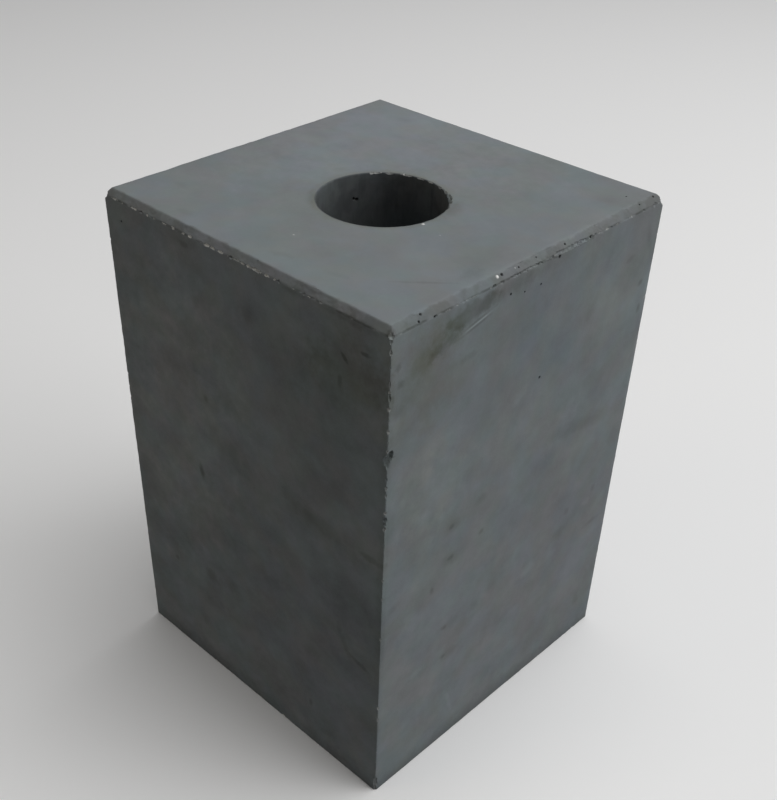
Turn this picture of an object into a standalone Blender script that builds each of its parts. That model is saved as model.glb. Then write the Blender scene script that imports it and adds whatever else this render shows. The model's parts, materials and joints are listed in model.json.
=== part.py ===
"""Cast concrete column base block: a square prism with a chamfered top and a round post hole.

The underside lies on Z = 0 and the plan is centred on the origin. The corner that is
broken most is the one at +X and -Y, called the front corner below.
"""

import bmesh
import bpy
from math import atan2, cos, radians, sin, sqrt
from mathutils import Matrix, Vector, noise

# Block, in metres
BLOCK_WIDTH = 0.2000  # along X
BLOCK_DEPTH = 0.2000  # along Y
BLOCK_HEIGHT = 0.2950  # along Z
CHAMFER_ACROSS = 0.0030  # how far the top chamfer runs in from each side
CHAMFER_DOWN = 0.0035  # how far it runs down each side

# Post hole, cast right through
HOLE_DIAMETER = 0.0660
HOLE_OFFSET_X = 0.0060  # from the middle of the plan
HOLE_OFFSET_Y = -0.0080
HOLE_SIDES = 96
CORE_OVERRUN = 0.0100  # how far the core that forms the hole stands out at each end

# Broken arrises. Every chip is (place, length, bite): its place is a share of the arris
# that it sits on, or an angle round the hole's rim, its length lies along that arris, and
# its bite is its depth into it.
FRONT_CORNER_CHIPS = (
    (0.032, 0.0130, 0.0021),
    (0.507, 0.0060, 0.0011),
    (0.668, 0.0125, 0.0022),
    (0.729, 0.0055, 0.0012),
    (0.791, 0.0110, 0.0042),
    (0.882, 0.0055, 0.0012),
)
LEFT_SHOULDER_CHIPS = (
    (0.042, 0.0060, 0.0014),
    (0.345, 0.0150, 0.0014),
    (0.466, 0.0080, 0.0017),
    (0.566, 0.0095, 0.0019),
    (0.735, 0.0070, 0.0011),
)
RIGHT_SHOULDER_CHIPS = (
    (0.395, 0.0060, 0.0013),
    (0.900, 0.0140, 0.0017),
)
TOP_CORNER_BITE = 0.0026  # the left and the right top corner, both knocked off
RIM_CHIPS = (
    (radians(46), 0.0160, 0.0016),
    (radians(104), 0.0070, 0.0012),
    (radians(141), 0.0060, 0.0010),
)
CHIP_ROUNDING_RATIO = 1.6  # a chip's radius across its arris, in bites
CHIP_RAGGEDNESS_RATIO = 0.12  # how far its surface strays from a smooth hollow, in radii
CHIP_GRAIN_FREQUENCY = 1.7  # how many swells cross one radius
CHIP_SUBDIVISION_COUNT = 2

# Finish: dry, dusty cement grey
CONCRETE_COLOUR = (0.170, 0.178, 0.180, 1.0)
CONCRETE_ROUGHNESS = 0.93

SHARP_ANGLE = radians(30)


def clear_scene():
    """Removes what the file opened with."""
    for item in list(bpy.data.objects):
        bpy.data.objects.remove(item, do_unlink=True)


def concrete():
    """The block's one material."""
    material = bpy.data.materials.new("cast_concrete")
    material.use_nodes = True
    shader = material.node_tree.nodes["Principled BSDF"]
    shader.inputs["Base Color"].default_value = CONCRETE_COLOUR
    shader.inputs["Roughness"].default_value = CONCRETE_ROUGHNESS
    shader.inputs["Metallic"].default_value = 0.0
    return material


def add_object(name, bm):
    """Links the mesh in bm to the scene as one object, smooth where it is round."""
    mesh = bpy.data.meshes.new(name)
    bm.to_mesh(mesh)
    bm.free()
    mesh.shade_smooth()
    mesh.set_sharp_from_angle(angle=SHARP_ANGLE)
    made = bpy.data.objects.new(name, mesh)
    bpy.context.scene.collection.objects.link(made)
    return made


def as_cutter(cutter):
    """Hides an object that only shapes another."""
    cutter.hide_render = True
    cutter.display_type = "WIRE"
    return cutter


def cut(block, cutter, self_crossing=False):
    """Takes the cutter's volume away from the block."""
    modifier = block.modifiers.new("cut_" + cutter.name, "BOOLEAN")
    modifier.operation = "DIFFERENCE"
    modifier.solver = "EXACT"
    modifier.use_self = self_crossing
    modifier.object = cutter


def make_block():
    """The prism up to its shoulder, then the chamfered top drawn up from it."""
    shoulder = BLOCK_HEIGHT - CHAMFER_DOWN
    bm = bmesh.new()
    bmesh.ops.create_cube(bm, size=1.0)
    bmesh.ops.translate(bm, vec=(0.0, 0.0, 0.5), verts=bm.verts)
    bmesh.ops.scale(bm, vec=(BLOCK_WIDTH, BLOCK_DEPTH, shoulder), verts=bm.verts)
    top = max(bm.faces, key=lambda face: face.calc_center_median().z)
    drawn = bmesh.ops.extrude_discrete_faces(bm, faces=[top])["faces"][0]
    seat = (
        (BLOCK_WIDTH - 2 * CHAMFER_ACROSS) / BLOCK_WIDTH,
        (BLOCK_DEPTH - 2 * CHAMFER_ACROSS) / BLOCK_DEPTH,
        1.0,
    )
    bmesh.ops.scale(bm, vec=seat, verts=drawn.verts)
    bmesh.ops.translate(bm, vec=(0.0, 0.0, CHAMFER_DOWN), verts=drawn.verts)
    return add_object("base_block", bm)


def make_core():
    """The round core that leaves the post hole."""
    bm = bmesh.new()
    bmesh.ops.create_cone(
        bm,
        cap_ends=True,
        segments=HOLE_SIDES,
        radius1=HOLE_DIAMETER / 2,
        radius2=HOLE_DIAMETER / 2,
        depth=BLOCK_HEIGHT + 2 * CORE_OVERRUN,
        matrix=Matrix.Translation((HOLE_OFFSET_X, HOLE_OFFSET_Y, BLOCK_HEIGHT / 2)),
    )
    return as_cutter(add_object("hole_core", bm))


def add_chip(bm, place, outward, along, length, bite):
    """One ragged hollow, bitten into an arris at place.

    outward points out of the material between the two faces that meet there, and along
    follows the arris.
    """
    across = CHIP_ROUNDING_RATIO * bite
    lift = across - bite
    reach = length / 2 / sqrt(1 - (lift / across) ** 2)
    outward = outward.normalized()
    along = along.normalized()
    axes = Matrix((along, outward.cross(along), outward)).transposed().to_4x4()
    made = bmesh.ops.create_icosphere(bm, subdivisions=CHIP_SUBDIVISION_COUNT, radius=1.0)["verts"]
    for vert in made:
        swell = noise.noise(vert.co * CHIP_GRAIN_FREQUENCY + place / bite)
        vert.co *= 1 + CHIP_RAGGEDNESS_RATIO * swell
    bmesh.ops.scale(bm, vec=(reach, across, across), verts=made)
    bmesh.ops.transform(bm, matrix=Matrix.Translation(place + outward * lift) @ axes, verts=made)


def add_straight_chips(bm, start, end, outward, chips):
    """Chips along the straight arris from start to end."""
    run = end - start
    for share, length, bite in chips:
        add_chip(bm, start + run * share, outward, run, length, bite)


def add_rim_chips(bm, centre, chips):
    """Chips round the hole's upper rim."""
    for angle, length, bite in chips:
        spoke = Vector((cos(angle), sin(angle), 0.0))
        place = centre + spoke * HOLE_DIAMETER / 2
        tangent = Vector((-sin(angle), cos(angle), 0.0))
        add_chip(bm, place, Vector((0.0, 0.0, 1.0)) - spoke, tangent, length, bite)


def make_chips():
    """Everything that has broken off the block, as one cutter."""
    x = BLOCK_WIDTH / 2
    y = BLOCK_DEPTH / 2
    shoulder = BLOCK_HEIGHT - CHAMFER_DOWN
    chamfer_lean = atan2(CHAMFER_ACROSS, CHAMFER_DOWN) / 2
    side = cos(chamfer_lean)
    up = sin(chamfer_lean)
    front_foot = Vector((x, -y, 0.0))
    front_head = Vector((x, -y, shoulder))
    left_head = Vector((-x, -y, shoulder))
    right_head = Vector((x, y, shoulder))
    bm = bmesh.new()
    add_straight_chips(bm, front_foot, front_head, Vector((1, -1, 0)), FRONT_CORNER_CHIPS)
    add_straight_chips(bm, left_head, front_head, Vector((0, -side, up)), LEFT_SHOULDER_CHIPS)
    add_straight_chips(bm, front_head, right_head, Vector((side, 0, up)), RIGHT_SHOULDER_CHIPS)
    for head in (left_head, right_head):
        corner = Vector((head.x, head.y, 0.0)).normalized()
        tangent = Vector((-corner.y, corner.x, 0.0))
        add_chip(bm, head, corner + Vector((0, 0, 1)), tangent, 2 * TOP_CORNER_BITE, TOP_CORNER_BITE)
    add_rim_chips(bm, Vector((HOLE_OFFSET_X, HOLE_OFFSET_Y, BLOCK_HEIGHT)), RIM_CHIPS)
    return as_cutter(add_object("arris_chips", bm))


def main():
    clear_scene()
    block = make_block()
    block.data.materials.append(concrete())
    cut(block, make_core())
    cut(block, make_chips(), self_crossing=True)


main()
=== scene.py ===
"""Looks of the column base block: its cast faces, worn arrises, chips, pores and stains."""

import json
import random
from collections import namedtuple
from math import atan2, cos, pi, radians, sin, sqrt

import bmesh
import bpy
from bpy.props import FloatProperty, FloatVectorProperty, PointerProperty
from mathutils import Matrix, Vector, kdtree, noise


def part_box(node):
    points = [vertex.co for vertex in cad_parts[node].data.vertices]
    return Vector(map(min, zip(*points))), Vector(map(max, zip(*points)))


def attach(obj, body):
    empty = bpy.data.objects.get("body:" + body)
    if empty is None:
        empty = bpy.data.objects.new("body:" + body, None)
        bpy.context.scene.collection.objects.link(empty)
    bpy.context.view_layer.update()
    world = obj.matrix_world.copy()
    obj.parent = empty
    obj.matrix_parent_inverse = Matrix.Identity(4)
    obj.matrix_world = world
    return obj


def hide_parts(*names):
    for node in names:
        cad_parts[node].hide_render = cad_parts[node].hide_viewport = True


bl_info = {
    "name": "Column base block",
    "version": (1, 0, 0),
    "blender": (4, 5, 0),
    "location": "3D View > Sidebar > Base block",
    "description": "Builds a weathered concrete footing block and a plain studio round it",
    "category": "Add Mesh",
}

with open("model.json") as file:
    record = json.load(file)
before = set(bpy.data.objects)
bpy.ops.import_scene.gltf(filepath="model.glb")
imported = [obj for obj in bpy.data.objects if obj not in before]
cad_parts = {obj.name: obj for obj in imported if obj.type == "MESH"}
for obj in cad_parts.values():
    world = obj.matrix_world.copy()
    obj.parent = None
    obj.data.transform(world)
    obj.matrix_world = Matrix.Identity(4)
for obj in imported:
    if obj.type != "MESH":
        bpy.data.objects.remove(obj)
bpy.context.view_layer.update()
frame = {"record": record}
NODE = "base_block"
LOW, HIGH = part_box(NODE)
HOLE_BOX = frame["record"]["physics"]["openings"][0]["box_m"]
HOLE_MIDDLE = (Vector(HOLE_BOX[0]) + Vector(HOLE_BOX[1])) / 2

# Mesh
LOOP_SIDES = 64  # sides of every loop that the block is bridged from
REFINING_ROUNDS = 14
ARRIS_WIDTH = 0.0004  # every arris is eased by this much before it is worn
FINE_BAND = 0.0006  # how far from an arris the finest mesh reaches
GRAIN_GROWTH = 0.5  # how fast edges may grow beyond it
PLAIN_GRAIN = 0.0034  # longest edge at the arrises that the photograph doesn't show close
FINEST_GRAIN = 0.00032  # longest edge in the smallest chips
CHIP_GRAIN = 0.48  # longest edge in a chip, in its bite
PLAIN_CHIP_GRAIN = 1.0  # and in one that the photograph doesn't show
CHIP_REACH = 2.0  # how far round a chip its fine mesh reaches, in its bite
PIT_GRAIN = 0.45  # and in a pit, in its radius
PIT_GROWTH = 1.2  # how fast edges may grow round one
SMALL_REACH = 0.0016  # chips and pits whose fine mesh reaches less far are searched together
TOUCH = 1e-5  # closer than this, a point lies on a plane
ARRIS_ANGLE = radians(20)  # the least turn between two faces that makes an arris
SHARP_ANGLE = radians(32)

# Wear of the arrises
WEAR_DEPTH = 0.00030  # deepest of the even wear
WEAR_REACH = 0.0012  # how far it runs in from the arris
WEAR_LENGTH = 0.0047  # from one worn place to the next
WEAR_SPREAD = 0.0190  # and from one worn stretch to the next
WEAR_STRETCH_SHARE = 0.6  # how worn a stretch is where its noise is nil
WEAR_SHARE = 0.4  # and a place in it
WEAR_SHIFT = Vector((7.3, 1.1, 4.2))
FINE_WEAR_RATIO = 3.7  # how much shorter the finer wear is
FINE_WEAR_SHARE = 0.7
SWELL_DEPTH = 0.00010  # how far an open face strays from flat
SWELL_LENGTH = 0.045
SWELL_SHARE = 0.5
RUBBED_DEPTH = 0.0005  # how far the right chamfer's upper arris is rubbed down
RUBBED_REACH = 0.0024
RUBBED_SHARE = 0.7

# Chips: (place, length, bite, how pale and fresh). A place is measured in metres from the middle
# of the arris, up on the front corner and to the right on the two shoulders. The flank is a line
# beside the front corner, on its right. Below zero a chip is darker, not pale; on the flank chip and
# the chip at 0.0478 on the front corner this darkness is painted shade in the hollow.
FLANK_SHIFT = 0.0022
FLANK_OUTWARD = (1.0, -0.3, 0.0)
FRONT_CHIPS = (
    (0.1425, 0.003, 0.0011, 0.1), (0.1373, 0.004, 0.0009, 0.35), (0.13, 0.005, 0.0005, 0.0),
    (0.1215, 0.0034, 0.0007, 0.1), (0.1178, 0.0024, 0.0008, 0.5), (0.115, 0.006, 0.001, 0.05),
    (0.1093, 0.0026, 0.0008, 0.4), (0.1031, 0.0024, 0.0006, 0.1), (0.0974, 0.0028, 0.0008, 0.45),
    (0.092, 0.0044, 0.0005, 0.1), (0.0874, 0.0024, 0.0007, 0.35), (0.0815, 0.009, 0.0023, 0.0),
    (0.072, 0.005, 0.0006, -0.1), (0.0666, 0.0026, 0.0008, 0.3), (0.0627, 0.0028, 0.0008, 0.15),
    # the chip at 0.0478 is darkened: painted shade in its narrow hollow
    (0.0526, 0.003, 0.0009, 0.45), (0.0478, 0.0058, 0.0014, -0.5), (0.0432, 0.003, 0.0011, 0.3),
    (0.033, 0.006, 0.0005, 0.0), (0.0113, 0.003, 0.0008, 0.35), (-0.0008, 0.0026, 0.0006, 0.3),
    (-0.028, 0.003, 0.0007, 0.3), (-0.079, 0.003, 0.0008, 0.4), (-0.0882, 0.0036, 0.0007, 0.3),
    (-0.142, 0.013, 0.0015, 0.2),
)
FLANK_CHIPS = (
    # darkened: painted shade beside the large chip at 0.0815 on the front corner
    (0.0838, 0.0052, 0.0015, -0.7),
)
LEFT_CHIPS = (
    (-0.0912, 0.0044, 0.00042, 0.8), (-0.085, 0.0024, 0.00035, 0.5), (-0.0766, 0.0022, 0.00035, 0.7),
    (-0.074, 0.0026, 0.00045, 1.0), (-0.0692, 0.0026, 0.0006, 0.0), (-0.0642, 0.0026, 0.00045, 1.0),
    (-0.0586, 0.0022, 0.0004, 0.6), (-0.0506, 0.0064, 0.00032, 0.7), (-0.044, 0.003, 0.0005, 1.0),
    (-0.0361, 0.0026, 0.00045, 0.6), (-0.0313, 0.003, 0.00052, 1.0), (-0.0186, 0.0042, 0.00062, 1.0),
    (-0.0141, 0.0036, 0.00055, 0.8), (-0.0084, 0.0042, 0.00052, 0.9), (-0.0014, 0.003, 0.00062, 0.0),
    (0.003, 0.01, 0.0003, 0.4), (0.0071, 0.0028, 0.00042, 0.7), (0.0106, 0.0028, 0.00052, 1.0),
    (0.0162, 0.01, 0.0006, 0.6), (0.0232, 0.0034, 0.0006, 1.0), (0.0286, 0.0022, 0.00045, 0.8),
    (0.0312, 0.0024, 0.00065, 0.0), (0.0474, 0.0026, 0.00055, 0.1), (0.0507, 0.0024, 0.0004, 0.5),
    (0.0582, 0.0026, 0.00045, 0.2),
)
RIGHT_CHIPS = (
    (-0.0733, 0.003, 0.00055, -0.4), (-0.0515, 0.012, 0.0003, 0.15), (-0.008, 0.032, 0.0006, 0.0),
    (0.023, 0.052, 0.00095, 0.0), (-0.0342, 0.0026, 0.0006, -0.6), (-0.0285, 0.0046, 0.00065, -0.2),
    (-0.02, 0.008, 0.0007, 0.0), (-0.0112, 0.0036, 0.00065, -0.3), (-0.0022, 0.0036, 0.0006, -0.5),
    (0.0066, 0.006, 0.00055, 0.0), (0.0135, 0.0036, 0.00065, -0.4), (0.023, 0.005, 0.00055, -0.3),
    (0.0281, 0.0028, 0.00045, 0.1), (0.0326, 0.0024, 0.00055, -0.6), (0.0507, 0.0026, 0.00045, 0.3),
    (0.054, 0.0024, 0.00055, -0.5), (0.072, 0.0026, 0.0005, 0.2), (0.0823, 0.0026, 0.00055, -0.4),
    (0.0922, 0.004, 0.0008, 0.0),
)
CORNER_CHIPS = (  # (the top corner's side along X, along Y, how much is knocked off, how pale)
    (-1, -1, 0.0019, 0.2), (1, 1, 0.0024, 0.2), (1, -1, 0.0019, 0.1), (-1, 1, 0.0014, 0.3),
)
RIM_CHIPS = (  # (degrees round the rim, length, bite, how pale)
    (18, 0.005, 0.0005, 0.0), (27, 0.007, 0.001, -0.1), (38, 0.007, 0.0015, 0.1),
    (49, 0.009, 0.0018, -0.1), (60, 0.005, 0.0008, 0.1), (72, 0.005, 0.0006, 0.2),
    (86, 0.004, 0.0005, 0.3), (98, 0.005, 0.0007, 0.2), (112, 0.007, 0.0006, 0.3),
    (127, 0.005, 0.0008, 0.2), (141, 0.006, 0.0007, 0.4), (-12, 0.0024, 0.0005, 0.5),
)
CHIP_ROUNDING = 1.6  # a chip's radius across its arris, in bites
CHIP_RAGGEDNESS = 0.34  # how far its surface strays from a smooth hollow, in radii
CHIP_FREQUENCY = 0.55  # swells to one bite
FINE_CHIP_RATIO = 2.3  # how much shorter its finer swells are
FINE_CHIP_SHARE = 0.5
SEARCH_MARGIN = 1.3  # how much further than a chip's own reach its points are looked for
NICK_SEED = 11
NICK_BITES = (0.0002, 0.00036)  # of the crumbs that are missing all along the seen arrises
NICK_GAP = 0.0075  # from one to the next
PLAIN_NICK_BITES = (0.0003, 0.0006)  # and along the others
PLAIN_NICK_GAP = 0.026
NICK_LENGTHS = (2.5, 6.0)  # in bites
NICK_PALENESS = 0.35  # of the palest

# Pits and grit: (across, up, radius), across and up in metres, and how pale the grit is.
# On the two seen chamfers up is a share of the slope, and on the top it is Y. On the hole's
# wall across is the angle round it.
LEFT, RIGHT, TOP, WALL = "left", "right", "top", "wall"
LEFT_CHAMFER, RIGHT_CHAMFER = "left chamfer", "right chamfer"
PITS = {
    LEFT: ((-0.0873, 0.2808, 0.0006),),
    RIGHT: (
        (-0.0219, 0.2829, 0.0007), (-0.0114, 0.2804, 0.0005), (0.0008, 0.2799, 0.0006),
        (0.0094, 0.2256, 0.0008), (0.0131, 0.2896, 0.0009),
    ),
    RIGHT_CHAMFER: (
        (-0.0802, 0.8, 0.0007), (-0.0828, 0.25, 0.0006), (-0.0733, 0.0, 0.0006), (-0.0273, 0.7, 0.0008),
        (-0.0346, 0.0, 0.0005), (-0.0156, 0.6, 0.0005), (-0.0023, 0.7, 0.0006), (-0.0026, 0.0, 0.0005),
        (0.0188, 0.6, 0.0006), (0.0303, 0.0, 0.0005), (0.0379, 0.05, 0.0008), (0.0933, 0.9, 0.0006),
        (0.0809, 0.8, 0.0005),
    ),
    TOP: ((0.0883, 0.0827, 0.0005),),
    LEFT_CHAMFER: ((0.0146, 0.95, 0.0004),),
    WALL: ((radians(157.4), 0.2812, 0.001), (radians(160.4), 0.2818, 0.0008)),
}
GRIT = {
    RIGHT_CHAMFER: (
        (-0.0304, 0.7, 0.0009, 1.0), (-0.0179, 0.7, 0.0005, 0.3), (0.0721, 1.0, 0.0006, 0.4),
        (0.0095, 0.0, 0.0006, 0.5),
    ),
    TOP: (
        (0.0403, -0.0156, 0.0009, 0.8), (0.0065, -0.068, 0.0006, 0.3), (0.054, -0.019, 0.0005, 0.2),
        (-0.0175, 0.0155, 0.0006, 0.3), (-0.0078, 0.0225, 0.0006, 0.5),
    ),
}
PIT_DEPTH = 1.0  # in its radius
GRIT_RISE = 0.25  # how far grit stands out, in its radius

# Colours of the concrete, each a share of what lies under it unless it is named a colour
NOISE_TURN = (0.61, 1.13, 0.37)  # so that no face lies along the noise's own grid
CEMENT_NOISES = (  # (swells to a metre, detail, roughness, stretch, share of the shade)
    (38.0, 3.0, 0.5, (1.0, 1.0, 1.15), 0.46),  # clouds
    (16.0, 3.0, 0.6, (1.0, 1.0, 2.2), 0.27),  # pour lines, which lie level
    (120.0, 3.0, 0.6, (1.0, 1.0, 1.0), 0.25),  # mottling
    (900.0, 2.0, 0.5, (1.0, 1.0, 1.0), 0.12),  # sand
)
TOP_SHADE = 0.5  # how much of the mottling the trowelled top shows
LEFT_SHADE = 1.4  # and the left face
HUES = (  # (name, its noise's shift and swells to a metre, tint above zero, tint below)
    ("Warmth", (3.7, 1.3, 8.1), 44.0, (1.0, 0.976, 0.945), (0.965, 0.991, 1.0)),
    ("Greenness", (9.2, 5.5, 2.4), 60.0, (0.975, 1.0, 0.98), (1.0, 0.975, 0.992)),
)
HUE_LIMIT = 0.12
WANDER = (170.0, 3.0, 0.6)  # noise that makes the edges of patches ragged
FOOT_HEIGHT = 0.014
FOOT_WANDER = 0.012
FOOT_TINT = (0.72, 0.72, 0.72)
LINE_TINT = (0.56, 0.56, 0.54)
LINE_WIDTH = (0.0001, 0.0008)  # half of it, where it starts to fade and where it ends
LINE_GAPS = (90.0, 2.0), (-0.12, 0.1)
# painted shade on each chamfer, darker on the right one
CHAMFER_SHADE_TINTS = (0.86, 0.83, 0.83), (0.8, 0.79, 0.785)  # the left chamfer, the right one
CHAMFER_EDGE = (0.0026, 0.0042)  # how far in from the side a chamfer's tint fades
CHAMFER_WANDER = 0.004
CHAMFER_FADE = 0.0002  # and how far above and below its foot
BLOTCHES = (130.0, 3.0), (-0.04, 0.1)
BLOTCH_TINT = (0.89, 0.89, 0.86)
SAG_PLACE = 0.023  # along the right arris, where it is broken down
SAG_DEPTH = 0.0013
SAG_SPREAD = (0.008, 0.03)
SAG_REACH = 0.01
# painted shade on the hole's wall
WALL_SHADE_TINT = (0.54, 0.56, 0.61)
WALL_EDGE = (0.0003, 0.0011)  # beyond the hole's radius
STREAKS = (210.0, 3.0, 0.7, (1.0, 1.0, 0.12)), (0.0, 0.18)
STREAK_TINT = (0.8, 0.82, 0.83)
DAMP = (75.0, 3.0, 0.6, (1.0, 1.0, 0.7)), (-0.1, 0.12)
DAMP_TINT = (0.7, 0.7, 0.72)
# Painted shade on the top round the hole's worn, rounded rim, held on down its wall
HALO_REACH = 0.005
HALO_WANDER = 0.01
HALO_SHADE_TINT = (0.9, 0.87, 0.8)
# darkens chips below zero; on two chips of the front corner this is painted shade
DARK_CHIP_TINT = (0.42, 0.43, 0.41)
FRESH_COLOUR = (0.56, 0.56, 0.53)
GRIT_COLOUR = (0.8, 0.8, 0.78)
# near-black painted shade in the pits
PIT_SHADE_COLOUR = (0.012, 0.012, 0.012)
SPECKLES = (1500.0, 2.0), (-0.25, 0.1, 0.55, 1.0)

# Relief that is too fine for the mesh
SAND_NOISE = (700.0, 3.0, 0.6)
TROWEL_NOISE = (140.0, 2.0)
TROWEL_SHARE = 0.8
POCK_FREQUENCY = 260.0
POCK_EDGE = (0.05, 0.16)
POCK_DEPTH = 0.5
BUMP_STRENGTH = 0.5
BUMP_DISTANCE = 0.00008

# Smudges: (share of the light kept, softness, places), and each place is (across, up,
# half across, half up), with its turn where it has one. Most are stains; a few on the right face
# are painted shadow, painted highlight and painted shade, each marked where it stands.
SMUDGE_DEPTH = 0.002  # how far round an arris a smudge runs
SMUDGE_RAGGEDNESS = 1.1
SMUDGE_BLUR = 0.55  # how much wider a fully soft smudge is drawn than its size says
FAINT = (0.93, 0.93, 0.93)
DULL = (0.86, 0.86, 0.85)
DARK = (0.76, 0.76, 0.74)
SOOT = (0.55, 0.55, 0.52)
BROWN = (0.84, 0.835, 0.79)
OLIVE = (0.82, 0.83, 0.76)
BLUE = (0.9, 0.93, 0.97)
MAUVE = (0.95, 0.92, 0.97)
LIGHT = (1.06, 1.06, 1.05)
PALE = (1.13, 1.13, 1.12)
# painted highlight along a small ridge
RIDGE_HIGHLIGHT = (1.45, 1.45, 1.42)
LEFT_SMUDGES = (
    ((1.27, 1.23, 1.21), 1.0, ((-0.055, 0.185, 0.048, 0.086),)),
    ((0.94, 0.92, 0.95), 1.0, ((0.055, 0.07, 0.052, 0.062),)),
    ((0.87, 0.87, 0.83), 1.0, ((0.074, 0.256, 0.032, 0.028),)),
    ((0.88, 0.89, 0.87), 0.9, ((0.0985, 0.17, 0.0026, 0.095),)),
    (BROWN, 0.9, ((0.077, 0.265, 0.025, 0.016),)),
    (DULL, 0.9, (
        (0.0907, 0.265, 0.008, 0.01), (0.0574, 0.2644, 0.007, 0.007), (0.0093, 0.2663, 0.005, 0.006),
        (-0.0098, 0.1764, 0.005, 0.006), (0.058, 0.1685, 0.031, 0.006, -0.24),
        (0.0311, 0.1745, 0.004, 0.004), (0.0494, 0.1688, 0.006, 0.004, -0.2),
        (-0.0876, 0.0941, 0.004, 0.004), (-0.0176, 0.0781, 0.005, 0.005),
        (0.0517, 0.0751, 0.0055, 0.005),
    )),
    (SOOT, 0.6, (
        (0.073, 0.2707, 0.003, 0.0012, -0.8), (0.0855, 0.2776, 0.0028, 0.0012, 0.1),
    )),
    (DARK, 0.8, (
        (0.0701, 0.2582, 0.0016, 0.003), (-0.0284, 0.2018, 0.0018, 0.0026),
        (0.093, 0.1673, 0.008, 0.0022, 0.05), (0.085, 0.092, 0.01, 0.0016, -0.25),
        (-0.0361, 0.0742, 0.0045, 0.0045), (0.048, 0.0318, 0.0016, 0.003),
        (-0.07, 0.0673, 0.0018, 0.0018), (-0.036, 0.286, 0.004, 0.0018),
    )),
    (SOOT, 0.8, ((-0.0372, 0.1499, 0.002, 0.0048, 0.2),)),
    (FAINT, 1.0, ((0.08, 0.128, 0.024, 0.042),)),
    (LIGHT, 1.0, (
        (0.068, 0.179, 0.017, 0.011), (-0.065, 0.06, 0.022, 0.018), (-0.0091, 0.2238, 0.02, 0.024),
    )),
    (DULL, 0.8, ((0.074, 0.1, 0.0022, 0.013, 0.45),)),
    (PALE, 0.9, ((0.086, 0.104, 0.008, 0.005, -0.5),)),
    (LIGHT, 0.9, ((-0.052, 0.274, 0.008, 0.012),)),
    (DULL, 0.7, ((-0.036, 0.2895, 0.01, 0.0055),)),
    (DARK, 0.9, (
        (0.075, 0.2905, 0.02, 0.0022), (0.0405, 0.2905, 0.007, 0.002),
    )),
)
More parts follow.
